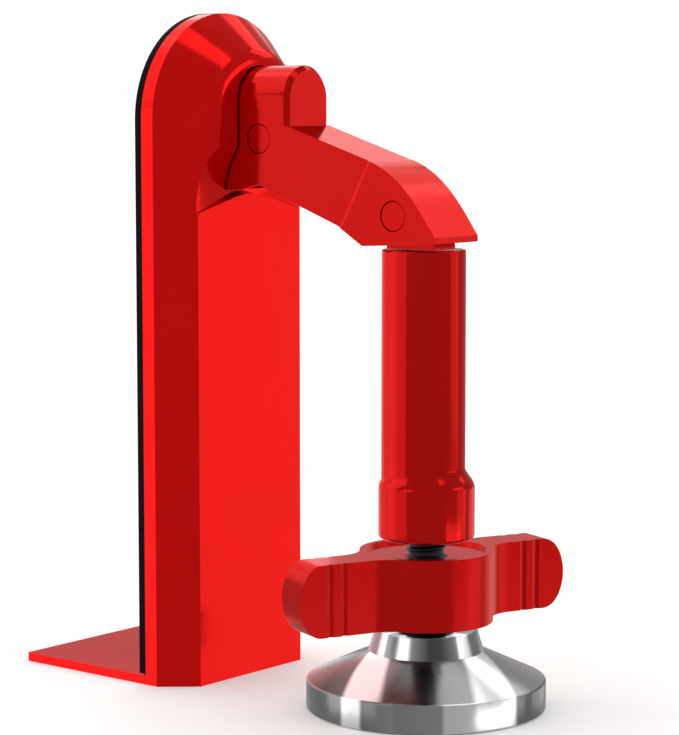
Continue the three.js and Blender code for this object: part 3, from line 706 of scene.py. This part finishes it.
def hinge_pin(name, body, node, hole_radius, fork_half):
    half = fork_half - pin_recess
    radius = hole_radius - pin_seat_gap
    profile = [(0, -half), (radius - pin_edge, -half), (radius, pin_edge - half),
               (radius, half - pin_edge), (radius - pin_edge, half), (0, half)]
    bm = turned(profile, 64)
    bmesh.ops.rotate(bm, verts=bm.verts, cent=(0, 0, 0), matrix=Matrix.Rotation(math.pi / 2, 3, "Y"))
    pin = object_from(name, moved(bm, centre_of(node)))
    finish_piece(pin, name, shaded_red_coat, body, [node], 0)


hinge_pin("coated_arm_pin", "arm", "arm_pin", arm_pin_radius + pin_hole_grow, arm_half)
hinge_pin("coated_elbow_pin", "leg", "elbow_pin", elbow_pin_radius + pin_hole_grow, elbow_width / 2)


# Leg
# A round red bar with a flat tongue in the elbow and a wider collar at its foot, bored out from
# below for the screw. It is cast and coated as the arm is.
leg_low, leg_high = (Vector(corner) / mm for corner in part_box("leg"))
screw_axis = centre_of("threaded_insert")
screw_axis.z = 0
collar_radius = leg_high.x
collar_height = 12.5
collar_round = 1.0
shoulder_height = 2.7
shoulder_drop = 0.8
shoulder_lead = 0.9
shoulder_pinch = 0.2
shoulder_sink = 1.2
shaft_top_radius = 9.55
shaft_foot_radius = 9.6
shaft_behind = 1.0
shaft_edge_round = 0.5
leg_top_below = 7.6
tongue_width = 7.8
bore_radius = 7.3
bore_top = 91.5


def arc(centre, radius, start, end, steps):
    """Points on a circle, from one angle in degrees to another."""
    angles = (math.radians(start + (end - start) * i / steps) for i in range(steps + 1))
    return [(centre[0] + radius * math.cos(a), centre[1] + radius * math.sin(a)) for a in angles]


def curve(start, first, second, end, steps):
    """Points on a Bezier curve in radius and height."""
    knots = [Vector((radius, height, 0)) for radius, height in (start, first, second, end)]
    return [(point.x, point.y) for point in interpolate_bezier(*knots, steps)]


collar_foot = leg_low.z
collar_middle = collar_foot + collar_height / 2
collar_top = collar_foot + collar_height
shoulder_top = collar_top + shoulder_height
leg_top = elbow_pin.z - leg_top_below
collar_profile = [
    (0, collar_foot),
    *arc((collar_radius - collar_round, collar_foot + collar_round), collar_round, -90, 0, 8),
    *curve((collar_radius, collar_top - shoulder_drop), (collar_radius, collar_top + shoulder_lead),
           (shaft_foot_radius - shoulder_pinch, shoulder_top - shoulder_lead),
           (shaft_foot_radius - shaft_behind, shoulder_top + shoulder_sink), 16),
    (0, shoulder_top + shoulder_sink),
]
shaft_profile = [
    (0, collar_middle),
    (shaft_foot_radius, collar_middle),
    (shaft_foot_radius, shoulder_top),
    *arc((shaft_top_radius - shaft_edge_round, leg_top - shaft_edge_round), shaft_edge_round, 0, 90, 6),
    (0, leg_top),
]
leg = object_from("leg_shaft", moved(turned(shaft_profile), screw_axis + Vector((0, shaft_behind, 0))))
combine(leg, moved(turned(collar_profile), screw_axis), "UNION")
tongue_foot = -leg_top_below - shaft_top_radius / 2
tongue_corners = [(tongue_radius, tongue_foot), (-tongue_ahead, tongue_foot),
                  (-tongue_ahead, -tongue_foot_below)]
combine(leg, hull_block(tongue_radius, elbow_pin, tongue_corners, tongue_width / 2), "UNION")
bore_foot = collar_foot - overrun
bore_profile = [(0, bore_foot), (bore_radius, bore_foot), (bore_radius, bore_top), (0, bore_top)]
combine(leg, moved(turned(bore_profile, 64), screw_axis), "DIFFERENCE")
combine(leg, hull_block(elbow_pin_radius + pin_hole_grow, elbow_pin, [], tongue_width), "DIFFERENCE")
finish_piece(leg, "red_leg", shaded_red_coat, "leg", ["leg"])
# Mirrors look past the leg to the panels.
leg.visible_glossy = False


# Threaded insert
# A blackened steel bush pressed into the foot of the leg, threaded for the screw to run in.
dress_node("threaded_insert", black_steel)


# Screw
# A blackened steel spindle with a rolled thread. Its ball turns in the foot, a cross pin holds the
# knob on its plain shank, and a ring on its top journal keeps it in the leg.
spindle_low, spindle_high = (Vector(corner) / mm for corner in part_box("spindle"))
knob_low, knob_high = (Vector(corner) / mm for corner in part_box("wing_knob"))
ring_low = Vector(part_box("travel_stop_ring")[0]) / mm
spindle_radius = 4.7
thread_depth = 0.6
thread_crest = 0.3
thread_root_gap = 0.12
thread_root_sink = 0.15
thread_turns = 22
thread_steps = 32
ring_seat_gap = 0.3
journal_radius = 3.9
ball_radius = 5.5
neck_radius = 3.4
neck_length = 2.9
neck_taper = 1.3
hub_recess_depth = 1.6

neck_angle = math.degrees(math.acos(neck_radius / ball_radius))
ball_centre = spindle_low.z + ball_radius
neck_foot = ball_centre + ball_radius * math.sin(math.radians(neck_angle))
shank_foot = neck_foot + neck_length + neck_taper
thread_foot = knob_high.z - hub_recess_depth
thread_top = ring_low.z - ring_seat_gap
thread_pitch = (thread_top - thread_foot) / thread_turns
core_radius = spindle_radius - thread_depth
spindle_profile = [
    *arc((0, ball_centre), ball_radius, -90, neck_angle, 20),
    (neck_radius, neck_foot + neck_length),
    (spindle_radius, shank_foot),
    (spindle_radius, thread_foot),
    (core_radius, thread_foot + thread_depth),
    (core_radius, thread_top - thread_depth),
    (spindle_radius, thread_top),
    (journal_radius, thread_top),
    (journal_radius, spindle_high.z),
    (0, spindle_high.z),
]
spindle_profile[0] = (0, spindle_low.z)


def thread_ridge():
    """One long ridge of the thread, spun up the core."""
    bm = bmesh.new()
    half_root = thread_pitch / 2 - thread_root_gap
    inside = core_radius - thread_root_sink
    tooth = [(inside, -half_root), (spindle_radius, -thread_crest / 2), (spindle_radius, thread_crest / 2),
             (inside, half_root)]
    points = [bm.verts.new((radius, 0, thread_foot + thread_pitch / 2 + up)) for radius, up in tooth]
    edges = [bm.edges.new((points[i - 1], points[i])) for i in range(4)]
    turns = thread_turns - 1
    bmesh.ops.spin(
        bm, geom=[*points, *edges], cent=(0, 0, 0), axis=(0, 0, 1), dvec=(0, 0, thread_pitch / thread_steps),
        angle=2 * math.pi * turns, steps=thread_steps * turns)
    open_edges = [edge for edge in bm.edges if edge.is_boundary]
    bmesh.ops.holes_fill(bm, edges=open_edges)
    bmesh.ops.recalc_face_normals(bm, faces=bm.faces)
    return bm


spindle = object_from("spindle_core", moved(turned(spindle_profile, 64), screw_axis))
combine(spindle, moved(thread_ridge(), screw_axis), "UNION")
finish_piece(spindle, "threaded_spindle", black_steel, "screw", ["spindle"], 0)
dress_node("travel_stop_ring", plain_steel)
dress_node("knob_cross_pin", plain_steel)


# Wing knob
# A cast hub with two offset wings that are faired into it. Each wing has two shallow grooves near
# its tip on both faces, and the hub's top is dished inside a thin rim.
hub_radius = 15.3
hub_recess_radius = 13.8
hub_bore_radius = 5.0
wing_half_span = 36.1
wing_thickness = 9.0
wing_offset = 2.5
wing_fillet = 8.0
wing_tip_round = 5.4
wing_turn = math.radians(-22.4)
groove_radius = 0.8
groove_depth = 0.5
groove_places = (25.0, 28.5)
cross_hole_radius = 1.8
cross_hole_far = 10.3
knob_edge_round = 0.45
knob_height = knob_high.z - knob_low.z


def knob_plan():
    """Plan of hub and wings, along the wings and across them. The far half is the near one turned."""
    reach = hub_radius + wing_fillet
    outer = wing_offset + wing_thickness / 2
    inner = wing_thickness / 2 - wing_offset
    near = Vector((math.sqrt(reach ** 2 - (outer + wing_fillet) ** 2), outer + wing_fillet))
    far = Vector((math.sqrt(reach ** 2 - (inner + wing_fillet) ** 2), inner + wing_fillet))
    near_angle = math.degrees(math.atan2(near.y, near.x))
    far_angle = math.degrees(math.atan2(far.y, far.x))
    half = [
        (wing_half_span, -inner),
        (wing_half_span, outer),
        *arc(near, wing_fillet, 270, 180 + near_angle, 12),
        *arc((0, 0), hub_radius, near_angle, 180 - far_angle, 28)[1:],
        *arc((-far.x, far.y), wing_fillet, -far_angle, -90, 12)[1:],
    ]
    return half + [(-x, -y) for x, y in half]


def upright_rod(x, y, radius, foot, top, steps=64):
    return moved(turned([(0, foot), (radius, foot), (radius, top), (0, top)], steps), (x, y, 0))


plan = bmesh.new()
plan_face = plan.faces.new([plan.verts.new((x, y, 0)) for x, y in knob_plan()])
extrude_faces(plan, [plan_face], (0, 0, knob_height))
knob = object_from("knob_plan", plan)
sides = bmesh.new()
for x in (wing_tip_round - wing_half_span, wing_half_span - wing_tip_round):
    for y in (-hub_radius - overrun, hub_radius + overrun):
        squashed = Matrix.Diagonal((wing_tip_round, 1, knob_height / 2, 1))
        stood = squashed @ Matrix.Rotation(math.pi / 2, 4, "X")
        bmesh.ops.create_circle(
            sides, segments=72, radius=1, matrix=Matrix.Translation((x, y, knob_height / 2)) @ stood)
combine(knob, hull_of(sides), "INTERSECT")
recess_foot = knob_height - hub_recess_depth
recess_top = knob_height + overrun
combine(knob, upright_rod(0, 0, hub_recess_radius, recess_foot, recess_top, 96), "DIFFERENCE")
combine(knob, upright_rod(0, 0, hub_bore_radius, -overrun, recess_top), "DIFFERENCE")
for place in groove_places:
    for wing in (1, -1):
        for face in (1, -1):
            across = wing * wing_offset + face * (wing_thickness / 2 + groove_radius - groove_depth)
            groove = upright_rod(wing * place, across, groove_radius, -overrun, recess_top, 24)
            combine(knob, groove, "DIFFERENCE")
cross_hole = upright_rod(0, 0, cross_hole_radius, -cross_hole_far, hub_radius + overrun, 32)
laid_down = Matrix.Rotation(-math.pi / 2, 3, "X")
bmesh.ops.rotate(cross_hole, verts=cross_hole.verts, cent=(0, 0, 0), matrix=laid_down)
combine(knob, moved(cross_hole, (0, 0, knob_height / 2)), "DIFFERENCE")
knob_place = Matrix.Translation(screw_axis + Vector((0, 0, knob_low.z))) @ Matrix.Rotation(wing_turn, 4, "Z")
knob.data.transform(knob_place)
# The same coat, rougher, with a darker base colour, which is painted shade.
soft_shaded_red_coat = red_coat_material("soft_shaded_red_coat", 0.60, 0.24)
finish_piece(knob, "red_wing_knob", soft_shaded_red_coat, "screw", ["wing_knob"], knob_edge_round)
# Mirrors look past the knob too.
knob.visible_glossy = False


# Thrust washer and ball seat
# A black rubber ring takes the push of the hub on the foot. Inside the foot, a split nylon ring
# wraps the spindle's ball.
seat_edge_round = 0.1

dress_node("thrust_washer", black_rubber, seat_edge_round)
dress_node("ball_seat", nylon, seat_edge_round)


# Foot
# Turned from steel bar and chromed, with a neck, a shallow cone and an upright rim. Its light and
# dark streaks from the neck to the rim are painted reflections, set in its colour by the angle
# round its axis.
foot_low, foot_high = (Vector(corner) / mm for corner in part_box("foot"))
sole_high = Vector(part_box("foot_sole")[1]) / mm
rim_radius = foot_high.x
rim_height = 6.0
rim_edge_round = 0.4
rim_skirt = 0.65
cone_height = 6.5
cone_top_radius = 13.2
neck_top_radius = 11.8
neck_edge_round = 0.35
foot_hole_radius = 6.0
socket_radius = 8.1
plate_recess_radius = 14.3
plate_recess_depth = 2.2
sole_gap = 0.2
sole_edge_round = 0.2
lathe_mark_depth = 0.002 * mm
foot_base = foot_low.z
rim_top = foot_base + rim_height
# The bands in these tables are painted reflections: grey levels set by the angle round the axis.
painted_reflection_turn = math.radians(219.2)
painted_reflection_spread = 0.42
painted_reflection_change = 0.1
rim_painted_reflections = [
    (-90, 0.20), (-46, 0.26), (-44, 1.0), (-35, 1.0), (-33, 0.22), (-18, 0.34), (-16, 0.30), (5, 0.36),
    (7, 0.75), (21, 0.80), (23, 1.0), (44, 1.0), (46, 0.22), (90, 0.10),
]
cone_painted_reflections = [
    (-90, 0.03), (-60, 0.05), (-46, 0.14), (-43, 1.0), (-25, 1.0), (-22, 0.22), (-14, 0.12), (2, 0.15),
    (4, 0.27), (20, 0.32), (24, 1.0), (43, 1.0), (47, 0.36), (90, 0.44),
]
neck_painted_reflections = [
    (-90, 0.30), (-62, 0.30), (-57, 1.0), (-51, 1.0), (-47, 0.30), (-36, 0.35), (-31, 1.0), (-22, 1.0),
    (-17, 0.45), (2, 0.10), (14, 0.12), (32, 0.40), (35, 1.0), (47, 1.0), (52, 0.30), (90, 0.25),
]


def chrome_material():
    material = bpy.data.materials.new("foot_chrome")
    tree = Tree(material)
    across, back, height = (
        tree.node("ShaderNodeSeparateXYZ", inputs=[tree.place()], output=axis) - offset * mm
        for axis, offset in (("X", screw_axis.x), ("Y", screw_axis.y), ("Z", rim_top)))
    side = back * math.cos(painted_reflection_turn) - across * math.sin(painted_reflection_turn)
    front = tree.node("ShaderNodeMath", {"operation": "ABSOLUTE"},
                      [across * math.cos(painted_reflection_turn) + back * math.sin(painted_reflection_turn)])
    turn = tree.node("ShaderNodeMath", {"operation": "ARCTAN2"}, [side, front])
    up_cone = tree.clamp(height * (1 / (cone_height * mm)))
    spread_turn = turn * (1 - painted_reflection_spread * up_cone)

    def painted_reflection_ramp(angle, stops):
        return tree.ramp(angle * (1 / math.pi) + 0.5, [(at / 180 + 0.5, level) for at, level in stops])

    on_cone = tree.clamp(height * (1 / (painted_reflection_change * mm)))
    on_neck = tree.clamp((height - cone_height * mm) * (1 / (painted_reflection_change * mm)))
    shares = tree.mix(on_cone, painted_reflection_ramp(turn, rim_painted_reflections), painted_reflection_ramp(spread_turn, cone_painted_reflections))
    shares = tree.mix(on_neck, shares, painted_reflection_ramp(turn, neck_painted_reflections))
    # The base colour carries the painted reflections, from black to near white.
    tree.surface(
        Base_Color=tree.mix(shares, (0.0, 0.0, 0.001, 1), (0.97, 0.97, 0.98, 1)),
        Metallic=1.0,
        Roughness=0.16 + 0.08 * tree.noise(300.0),
        Normal=tree.bump(tree.noise(1600.0), lathe_mark_depth),
    )
    return material


cone_top = rim_top + cone_height
skirt_foot = foot_base - rim_skirt
recess_ceiling = foot_base + plate_recess_depth
socket_mouth = math.degrees(math.acos(foot_hole_radius / socket_radius))
foot_profile = [
    *arc((rim_radius - rim_edge_round, skirt_foot + rim_edge_round), rim_edge_round, -90, 0, 5),
    *arc((rim_radius - rim_edge_round, rim_top - rim_edge_round), rim_edge_round, 0, 65, 5),
    (cone_top_radius, cone_top),
    *arc((neck_top_radius - neck_edge_round, foot_high.z - neck_edge_round), neck_edge_round, 10, 90, 5),
    (foot_hole_radius, foot_high.z),
    *arc((0, ball_centre), socket_radius, socket_mouth, 0, 10),
    (socket_radius, recess_ceiling),
    (plate_recess_radius, recess_ceiling),
    (plate_recess_radius, foot_base),
    (sole_high.x + sole_gap, foot_base),
    (sole_high.x + sole_gap, skirt_foot),
]
foot_chrome = chrome_material()
foot = object_from("foot_turning", moved(turned(foot_profile, 160), screw_axis))
finish_piece(foot, "chromed_foot", foot_chrome, "foot", ["foot"], 0)
dress_node("foot_retaining_plate", plain_steel)
for number in range(1, 4):
    dress_node(f"plate_screw_{number}", plain_steel)
dress_node("foot_sole", black_rubber, sole_edge_round)


# Floor, backdrop and lights
# A plain pale floor that turns up into a round backdrop far outside the object, a grey room, and
# large soft panels that the coat and the chrome mirror; the coat shows them as bands, and the
# chrome's bands are painted reflections. A card in front of the body, seen by mirrors alone, keeps
# the red of the body out of the chrome.
stage_reach = 1.1
stage_bend = 0.5
stage_height = 2.0
stage_colour = (0.93, 0.925, 0.92, 1)
stage_glow = 0.3
room_level = 0.455
panel_reach = 3.0
light_aim = Vector((0, -30, 90)) * mm
card_foot = 2.0
card_top = 112.0
card_gap = 0.6
card_level = 0.8


def pale_paper_material():
    """Pale matt paper. What a camera sees of it is lifted to an even pale tone."""
    material = bpy.data.materials.new("stage")
    tree = Tree(material)
    seen = tree.node("ShaderNodeLightPath", output="Is Camera Ray")
    for ray in ("Is Glossy Ray", "Is Transmission Ray"):
        also = tree.node("ShaderNodeLightPath", output=ray)
        seen = tree.node("ShaderNodeMath", {"operation": "MAXIMUM"}, [seen, also])
    glow = tree.mix(seen, (0, 0, 0, 1), stage_colour)
    tree.surface(Base_Color=stage_colour, Roughness=0.8, Specular_IOR_Level=0.0,
                 Emission_Color=glow, Emission_Strength=stage_glow)
    return material


pale_paper = pale_paper_material()


def stage_piece(name, bm):
    mesh = bpy.data.meshes.new(name)
    bm.to_mesh(mesh)
    bm.free()
    for polygon in mesh.polygons:
        polygon.use_smooth = True
    piece = bpy.data.objects.new(name, mesh)
    mesh.materials.append(pale_paper)
    bpy.context.scene.collection.objects.link(piece)
    # Mirrors see the room and the panels in place of the paper.
    piece.visible_glossy = False
    piece.visible_shadow = False
    return piece


floor_bm = bmesh.new()
bmesh.ops.create_circle(floor_bm, cap_ends=True, segments=96, radius=stage_reach)
stage_piece("floor", floor_bm)
backdrop_bm = bmesh.new()
bend = [(stage_reach + stage_bend * math.sin(a), stage_bend * (1 - math.cos(a)))
        for a in (math.pi / 2 * i / 12 for i in range(13))]
bend.append((stage_reach + stage_bend, stage_height))
rim = [backdrop_bm.verts.new((r, 0, z)) for r, z in bend]
rim_edges = [backdrop_bm.edges.new(pair) for pair in zip(rim, rim[1:])]
bmesh.ops.spin(backdrop_bm, geom=[*rim, *rim_edges], cent=(0, 0, 0), axis=(0, 0, 1),
               angle=2 * math.pi, steps=96, use_merge=True)
backdrop = stage_piece("backdrop", backdrop_bm)
backdrop.visible_diffuse = False

world = bpy.data.worlds.new("studio")
bpy.context.scene.world = world
world_tree = Tree(world)
room = world_tree.node("ShaderNodeBackground", inputs={"Color": (1, 1, 1, 1), "Strength": room_level})
world_tree.node("ShaderNodeOutputWorld", inputs={"Surface": room})


def hang_panel(name, place, away, width, height, level):
    """A soft panel whose back is turned to away, and which a mirror shows at the given level."""
    data = bpy.data.lights.new(name, "AREA")
    data.shape = "RECTANGLE"
    data.size = width
    data.size_y = height
    data.energy = math.pi * level * width * height
    panel = bpy.data.objects.new(name, data)
    panel.location = place
    panel.rotation_euler = away.to_track_quat("Z", "Y").to_euler()
    panel.visible_camera = False
    bpy.context.scene.collection.objects.link(panel)
    return panel


def add_panel(name, azimuth, elevation, wide, high, level):
    """A far panel, in degrees as the object sees it."""
    flat = math.cos(math.radians(elevation))
    away = Vector((math.cos(math.radians(azimuth)) * flat, math.sin(math.radians(azimuth)) * flat,
                   math.sin(math.radians(elevation))))
    width = 2 * panel_reach * math.tan(math.radians(wide / 2))
    height = 2 * panel_reach * math.tan(math.radians(high / 2))
    hang_panel(name, light_aim + away * panel_reach, away, width, height, level)


add_panel("left_panel", azimuth=124.5, elevation=-3, wide=27, high=28, level=1.0)
add_panel("dim_left_panel", azimuth=153.5, elevation=-3, wide=31, high=28, level=0.61)
add_panel("front_panel", azimuth=318.2, elevation=-6, wide=12.8, high=22, level=0.76)
add_panel("dim_front_panel", azimuth=303, elevation=-5, wide=16, high=24, level=0.5)
add_panel("low_front_panel", azimuth=287, elevation=-18, wide=42, high=10, level=1.1)
add_panel("side_panel", azimuth=354, elevation=-10.5, wide=32, high=12, level=0.7)
add_panel("overhead_panel", azimuth=279, elevation=67.6, wide=17, high=30, level=1.0)
add_panel("rear_panel", azimuth=16, elevation=39.5, wide=36, high=15, level=1.0)
add_panel("arm_panel", azimuth=37, elevation=24, wide=25, high=16, level=1.0)
add_panel("front_sky_panel", azimuth=347, elevation=35, wide=24, high=18, level=1.25)
add_panel("left_sky_panel", azimuth=112, elevation=34, wide=50, high=44, level=0.95)
add_panel("rear_sky_panel", azimuth=64, elevation=36, wide=42, high=40, level=0.95)
add_panel("top_panel", azimuth=39.4, elevation=66, wide=40, high=22, level=1.0)
add_panel("right_neck_panel", azimuth=302, elevation=18, wide=30, high=14, level=1.1)
add_panel("left_neck_panel", azimuth=170, elevation=16, wide=24, high=14, level=1.1)

card_place = Vector((0, head_front - card_gap, (card_foot + card_top) / 2)) * mm
card_width = 2 * body_half * mm
card_height = (card_top - card_foot) * mm
card = hang_panel("foot_card", card_place, Vector((0, 1, 0)), card_width, card_height, card_level)
card.visible_diffuse = False
